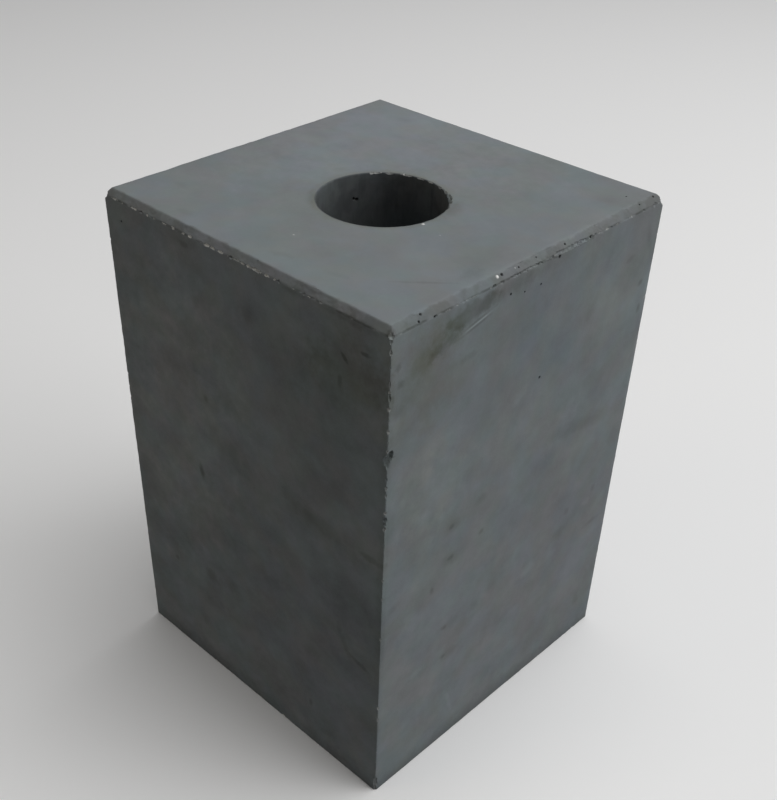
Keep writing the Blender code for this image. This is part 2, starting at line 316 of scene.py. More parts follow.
# stains, with a painted shadow, a painted highlight and painted shade marked among them
RIGHT_STAINS_AND_PAINTED_LIGHT = (
    ((0.88, 0.84, 0.77), 1.0, ((-0.076, 0.262, 0.02, 0.028),)),
    ((1.15, 1.155, 1.11), 1.0, ((-0.069, 0.195, 0.025, 0.028),)),
    (LIGHT, 1.0, (
        (0.07, 0.25, 0.026, 0.026), (0.01, 0.205, 0.038, 0.02, 0.2), (-0.074, 0.212, 0.006, 0.02, 0.15),
        (-0.0775, 0.1781, 0.01, 0.011), (0.0107, 0.0337, 0.014, 0.005, 0.1),
    )),
    ((1.09, 1.06, 1.06), 1.0, ((-0.05, 0.075, 0.052, 0.052),)),
    ((1.03, 0.985, 1.0), 1.0, ((0.048, 0.085, 0.056, 0.062),)),
    ((0.74, 0.73, 0.7), 0.5, ((-0.049, 0.2842, 0.0165, 0.005, 0.16),)),
    (DARK, 0.7, (
        # the thin lines at 0.2762 and 0.2786 are painted shade along both sides of a small ridge
        (-0.037, 0.285, 0.009, 0.004, 0.1), (-0.0435, 0.2762, 0.009, 0.0008, 0.22),
        (-0.0435, 0.2786, 0.009, 0.0008, 0.22),
    )),
    (OLIVE, 0.7, ((-0.064, 0.2795, 0.013, 0.0075, 0.45),)),
    (DARK, 0.8, (
        (-0.064, 0.2752, 0.011, 0.0036, 0.4), (-0.0954, 0.2756, 0.002, 0.002),
        (0.0912, 0.2485, 0.002, 0.002), (0.0939, 0.2328, 0.0016, 0.003),
        (-0.0506, 0.164, 0.0022, 0.0015, 0.3), (-0.0497, 0.1431, 0.0026, 0.0015),
        (-0.0499, 0.0941, 0.0022, 0.0017), (-0.049, 0.0708, 0.0022, 0.0017),
        (-0.0256, 0.1467, 0.0018, 0.0016, 0.6), (-0.0628, 0.129, 0.0016, 0.0026),
    )),
    (OLIVE, 0.9, ((-0.077, 0.2725, 0.013, 0.006, 0.5),)),
    ((0.84, 0.8, 0.78), 0.9, ((-0.02, 0.2865, 0.016, 0.0048),)),
    (DULL, 0.9, (
        (0.015, 0.288, 0.022, 0.004), (-0.0939, 0.2526, 0.004, 0.0035),
        (0.0917, 0.2745, 0.002, 0.01, 0.35), (0.0464, 0.248, 0.004, 0.0045),
        (-0.0498, 0.1639, 0.006, 0.004, 0.3), (-0.0277, 0.1701, 0.004, 0.003),
        (-0.0499, 0.1419, 0.006, 0.0045), (-0.0107, 0.0998, 0.005, 0.005),
        (-0.0256, 0.0948, 0.004, 0.0035), (-0.0455, 0.0942, 0.009, 0.0038),
        (-0.0445, 0.0708, 0.008, 0.0042, 0.1), (-0.0916, 0.1352, 0.005, 0.0024, 0.3),
        (0.0508, 0.1017, 0.005, 0.004), (0.0822, 0.0284, 0.003, 0.005),
    )),
    (DARK, 0.9, ((-0.0935, 0.2666, 0.003, 0.0026),)),
    # painted highlight along the crest of that small ridge
    (RIDGE_HIGHLIGHT, 0.6, ((-0.0435, 0.2774, 0.0086, 0.0006, 0.22),)),
    (DULL, 0.8, (
        (-0.0483, 0.2617, 0.0048, 0.002), (0.0772, 0.2667, 0.004, 0.0018, 0.3),
        (0.0547, 0.1151, 0.0022, 0.0022), (0.0797, 0.1193, 0.0022, 0.003),
        # the patch at (-0.0965, 0.1873) is a painted shadow below the chip at 0.0478 on the front corner
        (0.084, 0.0909, 0.008, 0.002), (-0.0965, 0.1873, 0.0034, 0.01),
    )),
    (BLUE, 1.0, (
        (-0.0029, 0.2547, 0.017, 0.024), (0.0259, 0.229, 0.011, 0.014),
    )),
    (PALE, 0.9, (
        (-0.0051, 0.2214, 0.006, 0.0026, 0.7), (-0.0695, 0.0745, 0.006, 0.0026, 0.2),
        (0.0221, 0.0904, 0.006, 0.004, 0.4), (0.0737, 0.1114, 0.004, 0.003),
    )),
    (PALE, 1.0, (
        (0.0389, 0.1908, 0.01, 0.008, 0.3), (-0.0773, 0.1148, 0.006, 0.007),
    )),
    (DULL, 1.0, ((0.053, 0.176, 0.038, 0.0045, -0.14),)),
    (MAUVE, 1.0, ((0.0196, 0.1651, 0.011, 0.008),)),
    (FAINT, 0.9, ((0.039, 0.0256, 0.008, 0.005),)),
    (LIGHT, 0.9, ((0.012, 0.0637, 0.01, 0.0026, 0.3),)),
    (PALE, 0.8, ((-0.04, 0.027, 0.0018, 0.013, 0.35),)),
)
TOP_SMUDGES = (
    ((1.16, 1.13, 1.155), 1.0, ((-0.06, 0.06, 0.09, 0.084),)),
    (FAINT, 1.0, ((0.084, -0.026, 0.009, 0.016),)),
    (FAINT, 0.9, (
        (-0.0775, -0.0694, 0.005, 0.003), (-0.0618, 0.081, 0.006, 0.004),
        (-0.047, 0.0592, 0.007, 0.003), (-0.0791, 0.0299, 0.008, 0.005),
        (-0.0471, -0.0889, 0.006, 0.003), (0.0175, -0.0857, 0.007, 0.0022, 0.3),
        (0.0499, -0.0816, 0.006, 0.0018, 0.2), (0.0845, 0.0732, 0.006, 0.005),
    )),
    (DULL, 0.9, (
        (0.09, -0.038, 0.004, 0.008, 0.2), (0.08, -0.06, 0.015, 0.001, 0.75),
        (-0.0187, -0.0327, 0.009, 0.003, -0.79),
    )),
    ((0.87, 0.85, 0.81), 0.9, ((0.0391, 0.0074, 0.01, 0.0042, -1.13),)),
    (LIGHT, 0.9, (
        (-0.0539, -0.0044, 0.006, 0.004), (0.0094, 0.05, 0.006, 0.004), (0.0068, -0.0676, 0.003, 0.003),
        (0.093, 0.0558, 0.005, 0.008),
    )),
)

# Camera: where the photograph was taken from, turned from looking level along +Y
CAMERA_PLACE = (0.3666, -0.3912, 0.5202)
CAMERA_AZIMUTH = radians(44.581)
CAMERA_DIP = radians(37.067)
CAMERA_ROLL = radians(0.848)
CAMERA_LENS = 50.4
CAMERA_SHIFT = (0.0435, 0.09375)

# Studio: the place and the size of each light
FLOOR_SIZE = 4.0
LIGHT_AIM = (0.0, 0.0, 0.15)
KEY_LIGHT = (2.3, 1.5, 1.5), 3.2
TOP_LIGHT = (0.3, 0.6, 3.0), 2.4
FILL_LIGHT = (-1.2, -2.1, 0.85), 1.2


class BlockSettings(bpy.types.PropertyGroup):
    """Sizes and colours of the block."""

    width: FloatProperty(
        name="Width", description="Along X", default=HIGH.x - LOW.x, min=0.05, unit="LENGTH"
    )
    depth: FloatProperty(
        name="Depth", description="Along Y", default=HIGH.y - LOW.y, min=0.05, unit="LENGTH"
    )
    height: FloatProperty(
        name="Height", description="Along Z", default=HIGH.z - LOW.z, min=0.05, unit="LENGTH"
    )
    chamfer_across: FloatProperty(
        name="Chamfer across", description="How far the top chamfer runs in", default=0.003, unit="LENGTH"
    )
    chamfer_down: FloatProperty(
        name="Chamfer down", description="How far it runs down the sides", default=0.0035, unit="LENGTH"
    )
    hole_diameter: FloatProperty(
        name="Hole", description="Across the post hole", default=0.066, unit="LENGTH"
    )
    fine_grain: FloatProperty(
        name="Fine grain", description="Longest edge at a worn arris", default=0.0009, unit="LENGTH"
    )
    coarse_grain: FloatProperty(
        name="Coarse grain", description="Longest edge on an open face", default=0.012, unit="LENGTH"
    )
    cement: FloatVectorProperty(
        name="Cement", description="The face's own grey",
        subtype="COLOR", size=3, default=(0.177, 0.198, 0.208),
    )
    roughness: FloatProperty(
        name="Roughness", description="Of the dry faces", subtype="FACTOR", default=0.93, min=0.0, max=1.0
    )


class StudioSettings(bpy.types.PropertyGroup):
    """Floor and lights."""

    floor_colour: FloatVectorProperty(
        name="Floor", description="Pale floor", subtype="COLOR", size=3, default=(0.9, 0.9, 0.9)
    )
    key_power: FloatProperty(
        name="Key", description="The large light over the right side", default=60.0, unit="POWER"
    )
    top_power: FloatProperty(name="Top", description="The light overhead", default=50.0, unit="POWER")
    fill_power: FloatProperty(
        name="Fill", description="The weak light on the left side", default=5.7, unit="POWER"
    )
    fill_colour: FloatVectorProperty(
        name="Fill colour", description="Warmer than the others",
        subtype="COLOR", size=3, default=(1.0, 0.89, 0.73),
    )
    sky: FloatProperty(
        name="Sky", description="Strength of the even light all round", default=0.12, min=0.0
    )


def on_axis(height):
    """A point on the hole's axis."""
    return Vector((HOLE_MIDDLE.x, HOLE_MIDDLE.y, height))


def new_edges(bm, known):
    """The edges that bm has now and didn't have when known was taken."""
    return [edge for edge in bm.edges if edge not in known]


def round_loop(bm, radius, middle):
    known = set(bm.edges)
    bmesh.ops.create_circle(
        bm, cap_ends=False, segments=LOOP_SIDES, radius=radius, matrix=Matrix.Translation(middle)
    )
    return new_edges(bm, known)


def square_loop(bm, width, depth, height):
    known = set(bm.edges)
    turned = Matrix.Rotation(pi / 4, 4, "Z")
    made = bmesh.ops.create_circle(bm, cap_ends=False, segments=4, radius=sqrt(0.5), matrix=turned)["verts"]
    bmesh.ops.scale(bm, vec=(width, depth, 1.0), verts=made)
    bmesh.ops.translate(bm, vec=(0.0, 0.0, height), verts=made)
    cuts = LOOP_SIDES // 4 - 1
    bmesh.ops.subdivide_edges(bm, edges=new_edges(bm, known), cuts=cuts)
    return new_edges(bm, known)


def bridge_block(sizes):
    """The block's skin as five bands, bridged from the hole's foot out and round to its foot again."""
    bm = bmesh.new()
    radius = sizes.hole_diameter / 2
    loops = [
        round_loop(bm, radius, on_axis(0.0)),
        square_loop(bm, sizes.width, sizes.depth, 0.0),
        square_loop(bm, sizes.width, sizes.depth, sizes.height - sizes.chamfer_down),
        square_loop(
            bm, sizes.width - 2 * sizes.chamfer_across, sizes.depth - 2 * sizes.chamfer_across, sizes.height
        ),
        round_loop(bm, radius, on_axis(sizes.height)),
    ]
    for start, end in zip(loops, loops[1:] + loops[:1]):
        bmesh.ops.bridge_loops(bm, edges=start + end)
    bmesh.ops.recalc_face_normals(bm, faces=bm.faces)
    return bm


def ease_arrises(bm):
    """A small bevel on every arris, so that wear and light have something to catch."""
    arrises = [edge for edge in bm.edges if edge.calc_face_angle(0.0) > ARRIS_ANGLE]
    bmesh.ops.bevel(
        bm, geom=arrises, offset=ARRIS_WIDTH, segments=2, profile=0.5, affect="EDGES", material=-1
    )


Chip = namedtuple("Chip", "place outward along length bite pale seen", defaults=(True,))
Pit = namedtuple("Pit", "place inwards radius pale", defaults=(1.0,))


def on_face(sizes, face, across, up):
    """A place on one of the faces, and the direction into the concrete there."""
    x = sizes.width / 2
    y = sizes.depth / 2
    run_in = sizes.chamfer_across * up
    rise = sizes.height - sizes.chamfer_down * (1 - up)
    slope = Vector((sizes.chamfer_down, sizes.chamfer_across)).normalized()
    spoke = Vector((cos(across), sin(across), 0.0))
    return {
        LEFT: (Vector((across, -y, up)), Vector((0, 1, 0))),
        RIGHT: (Vector((x, across, up)), Vector((-1, 0, 0))),
        TOP: (Vector((across, up, sizes.height)), Vector((0, 0, -1))),
        LEFT_CHAMFER: (Vector((across, run_in - y, rise)), Vector((0, slope.x, -slope.y))),
        RIGHT_CHAMFER: (Vector((x - run_in, across, rise)), Vector((-slope.x, 0, -slope.y))),
        WALL: (on_axis(up) + spoke * sizes.hole_diameter / 2, spoke),
    }[face]


def nicks(luck, start, end, outward, seen):
    """Small chips at random places along an arris."""
    bites, gap = (NICK_BITES, NICK_GAP) if seen else (PLAIN_NICK_BITES, PLAIN_NICK_GAP)
    run = end - start
    made = []
    for _ in range(round(run.length / gap)):
        bite = luck.uniform(*bites)
        length = bite * luck.uniform(*NICK_LENGTHS)
        pale = luck.uniform(0.0, NICK_PALENESS)
        made.append(Chip(start + run * luck.random(), outward, run, length, bite, pale, seen))
    return made


def all_chips(sizes):
    """Every chip: those listed, and the nicks along all the arrises."""
    x = sizes.width / 2
    y = sizes.depth / 2
    shoulder = sizes.height - sizes.chamfer_down
    lean = atan2(sizes.chamfer_across, sizes.chamfer_down) / 2
    side = cos(lean)
    rise = sin(lean)
    runs = (
        (FRONT_CHIPS, (x, -y, sizes.height / 2), (1, -1, 0), (0, 0, 1)),
        (FLANK_CHIPS, (x, FLANK_SHIFT - y, sizes.height / 2), FLANK_OUTWARD, (0, 0, 1)),
        (LEFT_CHIPS, (0, -y, shoulder), (0, -side, rise), (1, 0, 0)),
        (RIGHT_CHIPS, (x, 0, shoulder), (side, 0, rise), (0, 1, 0)),
    )
    chips = []
    for placed, *run in runs:
        middle, outward, along = map(Vector, run)
        for place, length, bite, pale in placed:
            chips.append(Chip(middle + along * place, outward, along, length, bite, pale))
    for end_x, end_y, bite, pale in CORNER_CHIPS:
        place = Vector((end_x * x, end_y * y, shoulder))
        outward = Vector((end_x, end_y, 1.0))
        chips.append(Chip(place, outward, Vector((-end_y, end_x, 0.0)), 2 * bite, bite, pale))
    for degrees, length, bite, pale in RIM_CHIPS:
        angle = radians(degrees)
        spoke = Vector((cos(angle), sin(angle), 0.0))
        tangent = Vector((-sin(angle), cos(angle), 0.0))
        place = on_axis(sizes.height) + spoke * sizes.hole_diameter / 2
        chips.append(Chip(place, Vector((0.0, 0.0, 1.0)) - spoke, tangent, length, bite, pale))

    luck = random.Random(NICK_SEED)
    corners = [(-x, -y), (x, -y), (x, y), (-x, y)]
    for index, (start_x, start_y) in enumerate(corners):
        end_x, end_y = corners[(index + 1) % 4]
        out_of_side = Vector(((start_x + end_x) / 2, (start_y + end_y) / 2, 0.0)).normalized()
        out_of_corner = Vector((start_x, start_y, 0.0))
        seen_side = index < 2
        seen_corner = index == 1
        for height, tilt in ((0.0, -1.0), (shoulder, rise / side)):
            start = Vector((start_x, start_y, height))
            end = Vector((end_x, end_y, height))
            outward = out_of_side + Vector((0.0, 0.0, tilt))
            chips += nicks(luck, start, end, outward, seen_side and height > 0)
        foot = Vector((start_x, start_y, 0.0))
        head = Vector((start_x, start_y, shoulder))
        chips += nicks(luck, foot, head, out_of_corner, seen_corner)
    return chips


def all_pits(sizes, places):
    return [
        Pit(*on_face(sizes, face, across, up), *rest)
        for face, rows in places.items() for across, up, *rest in rows
    ]


def search_tree(places):
    """The places, ready to be searched, each under its number."""
    tree = kdtree.KDTree(len(places))
    for index, place in enumerate(places):
        tree.insert(place, index)
    tree.balance()
    return tree


class Grain:
    """How long an edge may be at each place of the skin."""

    def __init__(self, sizes, chips, pits):
        self.sizes = sizes
        self.radius = sizes.hole_diameter / 2
        self.pits = pits
        self.pit_tree = search_tree([pit.place for pit in pits])
        spots = []
        for chip in chips:
            share = CHIP_GRAIN if chip.seen else PLAIN_CHIP_GRAIN
            grain = max(FINEST_GRAIN, share * chip.bite)
            along = chip.along.normalized()
            steps = max(1, round(chip.length / chip.bite / 2.5))
            for step in range(steps):
                shift = ((step + 0.5) / steps - 0.5) * chip.length
                spots.append((chip.place + along * shift, CHIP_REACH * chip.bite, grain))
        small = [spot for spot in spots if spot[1] < SMALL_REACH]
        large = [spot for spot in spots if spot[1] >= SMALL_REACH]
        self.searches = []
        for group in (small, large):
            tree = search_tree([place for place, _, _ in group])
            self.searches.append((tree, group, max(reach for _, reach, _ in group)))

    def near_seen(self, point):
        """How far a point of the skin is from the arrises that the photograph shows close."""
        s = self.sizes
        from_right = s.width / 2 - point.x
        from_left = point.y + s.depth / 2
        below = s.height - point.z
        rim = max(abs((point.xy - HOLE_MIDDLE.xy).length - self.radius), below)
        top = max(0.0, min(from_right, from_left) - s.chamfer_across, below - s.chamfer_down)
        return min(max(from_right, from_left), top, rim)

    def near_any(self, point):
        """How far it is from any arris."""
        s = self.sizes
        below = s.height - point.z
        sides = (s.width / 2 - abs(point.x), s.depth / 2 - abs(point.y))
        from_rim = abs((point.xy - HOLE_MIDDLE.xy).length - self.radius)
        top = max(0.0, min(sides) - s.chamfer_across, below - s.chamfer_down)
        return min(max(sides), max(min(sides), point.z), top, max(from_rim, min(below, point.z)))

    def near_rubbed(self, point):
        """How far it is from the upper arris of the right chamfer."""
        s = self.sizes
        return Vector((s.width / 2 - s.chamfer_across - point.x, s.height - point.z)).length

    def __call__(self, point):
        s = self.sizes
        seen = s.fine_grain + GRAIN_GROWTH * max(0.0, self.near_seen(point) - FINE_BAND)
        plain = PLAIN_GRAIN + GRAIN_GROWTH * max(0.0, self.near_any(point) - FINE_BAND)
        grain = min(s.coarse_grain, seen, plain)
        _, nearest, gap = self.pit_tree.find(point)
        radius = self.pits[nearest].radius
        grain = min(grain, PIT_GRAIN * radius + PIT_GROWTH * max(0.0, gap - 2 * radius))
        for tree, spots, farthest in self.searches:
            for _, index, gap in tree.find_range(point, farthest):
                _, reach, fine = spots[index]
                if gap < reach:
                    grain = min(grain, fine)
        return grain


def refine(bm, grain):
    """Cuts every edge in two that is longer than the grain asks where it lies."""
    short = bm.edges.layers.int.new("short")
    for _ in range(REFINING_ROUNDS):
        long_edges = []
        for edge in bm.edges:
            if edge[short]:
                continue
            start, end = edge.verts
            if edge.calc_length() > grain((start.co + end.co) / 2):
                long_edges.append(edge)
            else:
                edge[short] = 1
        if not long_edges:
            break
        bmesh.ops.subdivide_edges(bm, edges=long_edges, cuts=1, use_grid_fill=True)
    bm.edges.layers.int.remove(short)


def true_hole(bm, sizes):
    """Moves what the straight cuts left inside the hole out to its round wall."""
    radius = sizes.hole_diameter / 2
    for vert in bm.verts:
        spoke = vert.co.xy - HOLE_MIDDLE.xy
        if spoke.length < radius:
            vert.co.xy = HOLE_MIDDLE.xy + spoke * (radius / spoke.length)


def wear(bm, grain):
    """Lets the open faces swell a little, and wears the arrises unevenly."""
    bm.normal_update()
    moves = []
    for vert in bm.verts:
        place = vert.co
        depth = SWELL_DEPTH * (noise.noise(place / SWELL_LENGTH) + SWELL_SHARE)
        near = grain.near_any(place)
        if near < WEAR_REACH:
            fade = (1 - near / WEAR_REACH) ** 2
            stretch = WEAR_STRETCH_SHARE + noise.noise(place / WEAR_SPREAD)
            coarse = noise.noise(place / WEAR_LENGTH + WEAR_SHIFT)
            fine = noise.noise(place / WEAR_LENGTH * FINE_WEAR_RATIO)
            worn = stretch * (WEAR_SHARE + coarse + FINE_WEAR_SHARE * fine)
            depth += WEAR_DEPTH * fade * max(0.0, worn)
        rubbed = grain.near_rubbed(place)
        if rubbed < RUBBED_REACH:
            worn = RUBBED_SHARE + noise.noise(place / WEAR_SPREAD)
            depth += RUBBED_DEPTH * (1 - rubbed / RUBBED_REACH) ** 2 * max(0.0, worn)
        moves.append((vert, vert.normal * -depth))
    for vert, move in moves:
        if vert.co.z > TOUCH:
            vert.co += move


class Breaks:
    """Cuts hollows into the skin, and marks how each place is broken."""

    def __init__(self, bm):
        self.bm = bm
        bm.verts.ensure_lookup_table()
        self.broken = bm.verts.layers.float.new("broken")
        self.pit = bm.verts.layers.float.new("pit")
        # the pit layer marks where the material paints shade in each pit
        self.grit = bm.verts.layers.float.new("grit")
        self.tree = search_tree([vert.co for vert in bm.verts])

    def near(self, place, reach):
        """The skin's points near a place, each with how far off it was before anything was cut."""
        return [(self.bm.verts[index], gap) for _, index, gap in self.tree.find_range(place, reach)]

    def bite(self, chip):
        """Bites a ragged hollow into an arris."""
        across = CHIP_ROUNDING * chip.bite
        lift = across - chip.bite
        reach = chip.length / 2 / sqrt(1 - (lift / across) ** 2)
        outward = chip.outward.normalized()
        along = chip.along.normalized()
        aside = outward.cross(along)
        middle = chip.place + outward * lift
        frequency = CHIP_FREQUENCY / chip.bite
        for vert, _ in self.near(middle, SEARCH_MARGIN * max(reach, across)):
            out = vert.co - middle
            coarse = noise.noise(vert.co * frequency)
            fine = noise.noise(vert.co * frequency * FINE_CHIP_RATIO)
            ragged = 1 + CHIP_RAGGEDNESS * (coarse + FINE_CHIP_SHARE * fine)
            spread = (out.dot(along) / reach / ragged) ** 2 + (out.dot(aside) / across / ragged) ** 2
            if spread >= 1:
                continue
            floor = -across * ragged * sqrt(1 - spread)
            height = out.dot(outward)
            if height > floor:
                vert.co += outward * (floor - height)
                vert[self.broken] = chip.pale

    def sink(self, pit):
        """Sinks a round pit straight in, and marks where shade is painted in it."""
        for vert, gap in self.near(pit.place, 1.6 * pit.radius):
            gap /= pit.radius
            vert.co += pit.inwards * PIT_DEPTH * pit.radius * max(0.0, 1 - gap ** 4)
            vert[self.pit] = max(vert[self.pit], min(1.0, max(0.0, 1.6 - 1.3 * gap)))

    def stud(self, grit):
        """Bares a pale grain of sand."""
        for vert, gap in self.near(grit.place, 1.4 * grit.radius):
            gap /= grit.radius
            vert.co -= grit.inwards * GRIT_RISE * grit.radius * max(0.0, 1 - gap ** 2)
            vert[self.grit] = max(vert[self.grit], grit.pale * min(1.0, max(0.0, 1.8 - 1.6 * gap)))


def add_object(name, data):
    made = bpy.data.objects.new(name, data)
    bpy.context.scene.collection.objects.link(made)
    return made


class BLOCK_OT_cast(bpy.types.Operator):
    """Makes the block's skin, with its wear, chips and pits."""

    bl_idname = "base_block.cast"
    bl_label = "Cast the block"
    bl_options = {"REGISTER", "UNDO"}

    def execute(self, context):
        sizes = context.scene.base_block
        chips = all_chips(sizes)
        pits = all_pits(sizes, PITS)
        grit = all_pits(sizes, GRIT)
        grain = Grain(sizes, chips, pits + grit)
        bm = bridge_block(sizes)
        ease_arrises(bm)
        refine(bm, grain)
        true_hole(bm, sizes)
        wear(bm, grain)
        breaks = Breaks(bm)
        for chip in chips:
            breaks.bite(chip)
        for pit in pits:
            breaks.sink(pit)
        for stone in grit:
            breaks.stud(stone)
        mesh = bpy.data.meshes.new("weathered_block")
        bm.to_mesh(mesh)
        bm.free()
        mesh.shade_smooth()
        mesh.set_sharp_from_angle(angle=SHARP_ANGLE)
        block = add_object("weathered_block", mesh)
        block.data.materials.append(cast_concrete(sizes))
        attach(block, "root")
        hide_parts(NODE)
        return {"FINISHED"}


def node(tree, kind, inputs=None, **settings):
    """Adds a node with its settings, and gives each named input a value or a link."""
    made = tree.nodes.new("ShaderNode" + kind)
    for name, value in settings.items():
        setattr(made, name, value)
    for key, value in (inputs or {}).items():
        if isinstance(value, bpy.types.NodeSocket):
            tree.links.new(value, made.inputs[key])
        else:
            made.inputs[key].default_value = value
    return made


def placed_group(tree, group, inputs):
    return node(tree, "Group", inputs, node_tree=group)


def maths(tree, operation, *values):
    return node(tree, "Math", dict(enumerate(values)), operation=operation).outputs[0]


def times(tree, value, factor):
    return maths(tree, "MULTIPLY", value, factor)


def ramp(tree, value, low, high, start=0.0, end=1.0):
    """The value carried smoothly from low..high to start..end, and held beyond them."""
    inputs = {"Value": value, "From Min": low, "From Max": high, "To Min": start, "To Max": end}
    return node(tree, "MapRange", inputs, interpolation_type="SMOOTHSTEP").outputs["Result"]


def cloud(tree, place, frequency, detail=2.0, roughness=0.5, stretch=(1.0, 1.0, 1.0)):
    """Soft noise about zero, from -0.5 to 0.5, with that many swells to a metre."""
    scaled = node(tree, "VectorMath", {0: place, 1: stretch}, operation="MULTIPLY").outputs[0]
    inputs = {"Vector": scaled, "Rotation": NOISE_TURN}
    turned = node(tree, "VectorRotate", inputs, rotation_type="EULER_XYZ").outputs[0]
    inputs = {"Vector": turned, "Scale": frequency, "Detail": detail, "Roughness": roughness}
    made = node(tree, "TexNoise", inputs)
    return maths(tree, "SUBTRACT", made.outputs["Fac"], 0.5)


def patches(tree, place, settings, limits):
    """1 where that noise is high and 0 where it is low."""
    return ramp(tree, cloud(tree, place, *settings), *limits)


def tint(tree, colour, factor, by):
    """Multiplies the colour by another where the factor says."""
    inputs = {0: factor, 6: colour, 7: (*by, 1.0)}
    return node(tree, "Mix", inputs, data_type="RGBA", blend_type="MULTIPLY").outputs[2]


def cover(tree, colour, factor, with_colour):
    """Covers the colour with another where the factor says."""
    inputs = {0: factor, 6: colour, 7: (*with_colour, 1.0)}
    return node(tree, "Mix", inputs, data_type="RGBA").outputs[2]


def new_group(name, inputs, outputs):
    """An empty shader node group with its ends."""
    group = bpy.data.node_groups.new(name, "ShaderNodeTree")
    for side, sockets in (("INPUT", inputs), ("OUTPUT", outputs)):
        for socket, kind in sockets:
            group.interface.new_socket(name=socket, in_out=side, socket_type="NodeSocket" + kind)
    return group, group.nodes.new("NodeGroupInput"), group.nodes.new("NodeGroupOutput")


SMUDGE_INPUTS = (
    "Across", "Up", "Middle across", "Middle up", "Half across", "Half up", "Turn", "Ragged", "Softness"
)


def smudge_group():
    """A soft ragged patch on a face: 1 inside it and 0 outside."""
    inputs = [(name, "Float") for name in SMUDGE_INPUTS]
    group, start, end = new_group("smudge", inputs, (("Mask", "Float"),))
    value = start.outputs
    across = maths(group, "SUBTRACT", value["Across"], value["Middle across"])
    up = maths(group, "SUBTRACT", value["Up"], value["Middle up"])
    cosine = maths(group, "COSINE", value["Turn"])
    sine = maths(group, "SINE", value["Turn"])
    along = maths(group, "MULTIPLY_ADD", across, cosine, times(group, up, sine))
    turned = times(group, across, sine)
    aside = maths(group, "SUBTRACT", times(group, up, cosine), turned)
    along = maths(group, "DIVIDE", along, value["Half across"])
    aside = maths(group, "DIVIDE", aside, value["Half up"])
    square = maths(group, "MULTIPLY_ADD", along, along, times(group, aside, aside))
    gap = maths(group, "ADD", maths(group, "SQRT", square), value["Ragged"])
    core = maths(group, "SUBTRACT", 1.0, value["Softness"])
    group.links.new(ramp(group, gap, core, 1.0, 1.0, 0.0), end.inputs["Mask"])
    return group


def cement_group():
    """The shades and hues that cement paste sets in: clouds, pour lines, fine mottling."""
    group, start, end = new_group(
        "cement_clouds",
        (("Place", "Vector"),),
        (("Shade", "Float"), *((name, "Float") for name, *_ in HUES)),
    )
    place = start.outputs["Place"]
    shade = 0.0
    for *settings, share in CEMENT_NOISES:
        shade = maths(group, "MULTIPLY_ADD", cloud(group, place, *settings), share, shade)
    group.links.new(shade, end.inputs["Shade"])
    for name, shift, frequency, _, _ in HUES:
        moved = node(group, "VectorMath", {0: place, 1: shift}).outputs[0]
        group.links.new(cloud(group, moved, frequency), end.inputs[name])
    return group


def grain_group():
    """The height of the cast surface: sand, faint pock marks and trowel drag."""
    group, start, end = new_group("cast_grain", (("Place", "Vector"),), (("Height", "Float"),))
    place = start.outputs["Place"]
    height = cloud(group, place, *SAND_NOISE)
    height = maths(group, "MULTIPLY_ADD", cloud(group, place, *TROWEL_NOISE), TROWEL_SHARE, height)
    spots = node(group, "TexVoronoi", {"Vector": place, "Scale": POCK_FREQUENCY}, feature="F1")
    pocks = ramp(group, spots.outputs["Distance"], *POCK_EDGE, -POCK_DEPTH, 0.0)
    group.links.new(maths(group, "ADD", height, pocks), end.inputs["Height"])
    return group


def smudged_face(tree, group, smudges, across, up, ragged):
    """What the smudges of one face leave of its light."""
    kept = (1.0, 1.0, 1.0, 1.0)
    for by, softness, places in smudges:
        blur = 1 + SMUDGE_BLUR * softness
        for middle_across, middle_up, half_across, half_up, *turn in places:
            values = (
                across, up, middle_across, middle_up, half_across * blur, half_up * blur,
                turn[0] if turn else 0.0, ragged, softness,
            )
            patch = placed_group(tree, group, dict(zip(SMUDGE_INPUTS, values)))
            kept = tint(tree, kept, patch.outputs["Mask"], by)
    return kept


